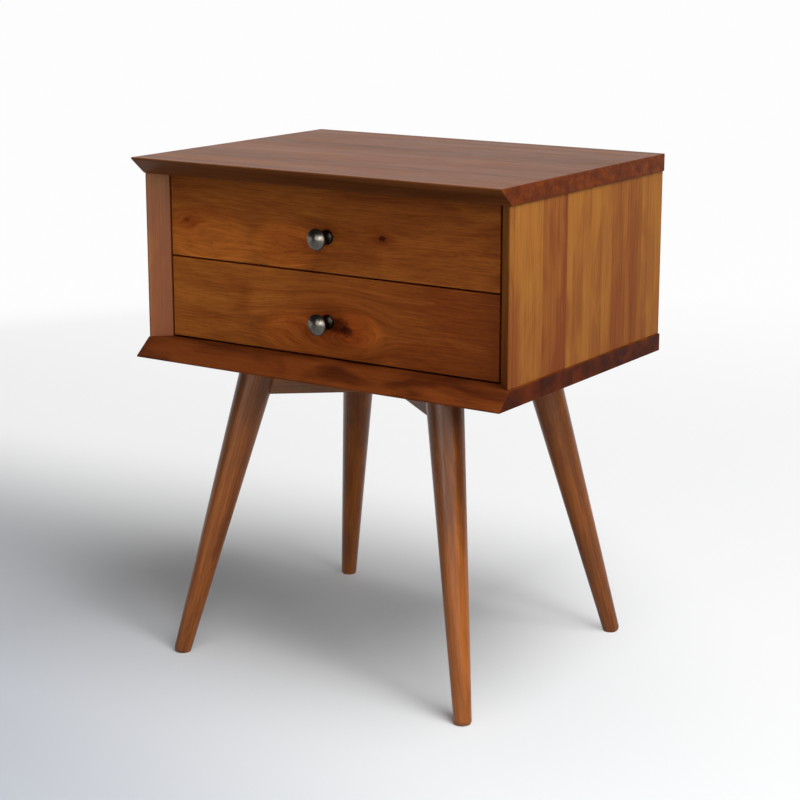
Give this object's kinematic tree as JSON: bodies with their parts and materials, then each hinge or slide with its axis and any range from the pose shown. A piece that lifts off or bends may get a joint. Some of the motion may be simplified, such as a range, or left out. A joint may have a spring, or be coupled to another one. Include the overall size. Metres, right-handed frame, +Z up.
{
  "type": "nightstand with drawers",
  "caption": "Nightstand: a low bevelled case with drawers on ball-bearing slides, set on splayed round tapered legs with crossed rails.",
  "frame": {"origin": "on the floor, under the middle of the case", "axes": "+Z up, +X to the right as one faces the drawers, +Y to the back; the drawers pull out along -Y"},
  "size_m": [0.508, 0.382, 0.61],
  "materials": {
    "top_wood": "satin clear lacquer over brown-stained solid wood, grain across the width",
    "bottom_wood": "satin clear lacquer over brown-stained solid wood, grain across the width",
    "side_wood": "satin clear lacquer over staves of lighter and redder brown wood, grain upright",
    "front_wood": "satin clear lacquer over brown wood with small knots, grain across the width",
    "leg_wood": "satin clear lacquer over turned brown wood",
    "back_plywood": "thin lacquered plywood",
    "bottom_plywood": "thin sealed plywood",
    "box_wood": "pale solid wood, sealed",
    "dowel_wood": "fluted birch dowels",
    "zinc_steel": "zinc plated steel",
    "cage_steel": "plain bright steel",
    "knob_metal": "brushed nickel with a slightly antique tone",
    "screw_steel": "zinc plated steel"
  },
  "bodies": {
    "cabinet": {"top_panel": "top_wood", "bottom_panel": "bottom_wood", "left_side_panel": "side_wood", "right_side_panel": "side_wood", "back_panel": "back_plywood", "case_dowels": "dowel_wood", "back_panel_screws": "screw_steel", "rail_upper_lap": "leg_wood", "rail_lower_lap": "leg_wood", "leg_dowels": "dowel_wood", "rail_dowels": "dowel_wood", "rail_screws": "screw_steel", "cabinet_slide_screws": "screw_steel", "leg_front_left": "leg_wood", "leg_front_right": "leg_wood", "leg_rear_left": "leg_wood", "leg_rear_right": "leg_wood", "upper_left_cabinet_member": "zinc_steel", "upper_right_cabinet_member": "zinc_steel", "lower_left_cabinet_member": "zinc_steel", "lower_right_cabinet_member": "zinc_steel"},
    "upper_drawer": {"upper_drawer_front": "front_wood", "upper_box_front": "box_wood", "upper_box_back": "box_wood", "upper_box_bottom": "bottom_plywood", "upper_box_left_side": "box_wood", "upper_box_right_side": "box_wood", "upper_knob": "knob_metal", "upper_knob_screw": "screw_steel", "upper_front_screws": "screw_steel", "upper_slide_screws": "screw_steel", "upper_left_drawer_member": "zinc_steel", "upper_right_drawer_member": "zinc_steel"},
    "upper_middle_members": {"upper_left_middle_member": "zinc_steel", "upper_right_middle_member": "zinc_steel"},
    "upper_outer_cages": {"upper_left_outer_ball_cage": "cage_steel", "upper_right_outer_ball_cage": "cage_steel"},
    "upper_inner_cages": {"upper_left_inner_ball_cage": "cage_steel", "upper_right_inner_ball_cage": "cage_steel"},
    "lower_drawer": {"lower_drawer_front": "front_wood", "lower_box_front": "box_wood", "lower_box_back": "box_wood", "lower_box_bottom": "bottom_plywood", "lower_box_left_side": "box_wood", "lower_box_right_side": "box_wood", "lower_knob": "knob_metal", "lower_knob_screw": "screw_steel", "lower_front_screws": "screw_steel", "lower_slide_screws": "screw_steel", "lower_left_drawer_member": "zinc_steel", "lower_right_drawer_member": "zinc_steel"},
    "lower_middle_members": {"lower_left_middle_member": "zinc_steel", "lower_right_middle_member": "zinc_steel"},
    "lower_outer_cages": {"lower_left_outer_ball_cage": "cage_steel", "lower_right_outer_ball_cage": "cage_steel"},
    "lower_inner_cages": {"lower_left_inner_ball_cage": "cage_steel", "lower_right_inner_ball_cage": "cage_steel"}
  },
  "joints": [
    {"name": "upper_drawer_slide", "type": "slide", "parent": "cabinet", "child": "upper_drawer", "axis": [0, -1, 0], "range_m": [0, 0.3]},
    {"name": "upper_middle_slide", "type": "slide", "parent": "cabinet", "child": "upper_middle_members", "axis": [0, -1, 0], "range_m": [0, 0.15]},
    {"name": "upper_outer_cage_roll", "type": "slide", "parent": "cabinet", "child": "upper_outer_cages", "axis": [0, -1, 0], "range_m": [0, 0.075]},
    {"name": "upper_inner_cage_roll", "type": "slide", "parent": "cabinet", "child": "upper_inner_cages", "axis": [0, -1, 0], "range_m": [0, 0.225]},
    {"name": "lower_drawer_slide", "type": "slide", "parent": "cabinet", "child": "lower_drawer", "axis": [0, -1, 0], "range_m": [0, 0.3]},
    {"name": "lower_middle_slide", "type": "slide", "parent": "cabinet", "child": "lower_middle_members", "axis": [0, -1, 0], "range_m": [0, 0.15]},
    {"name": "lower_outer_cage_roll", "type": "slide", "parent": "cabinet", "child": "lower_outer_cages", "axis": [0, -1, 0], "range_m": [0, 0.075]},
    {"name": "lower_inner_cage_roll", "type": "slide", "parent": "cabinet", "child": "lower_inner_cages", "axis": [0, -1, 0], "range_m": [0, 0.225]}
  ],
  "couplings": [
    {"joint": "upper_middle_slide", "follows": "upper_drawer_slide", "ratio": 0.5},
    {"joint": "upper_outer_cage_roll", "follows": "upper_drawer_slide", "ratio": 0.25},
    {"joint": "upper_inner_cage_roll", "follows": "upper_drawer_slide", "ratio": 0.75},
    {"joint": "lower_middle_slide", "follows": "lower_drawer_slide", "ratio": 0.5},
    {"joint": "lower_outer_cage_roll", "follows": "lower_drawer_slide", "ratio": 0.25},
    {"joint": "lower_inner_cage_roll", "follows": "lower_drawer_slide", "ratio": 0.75}
  ]
}
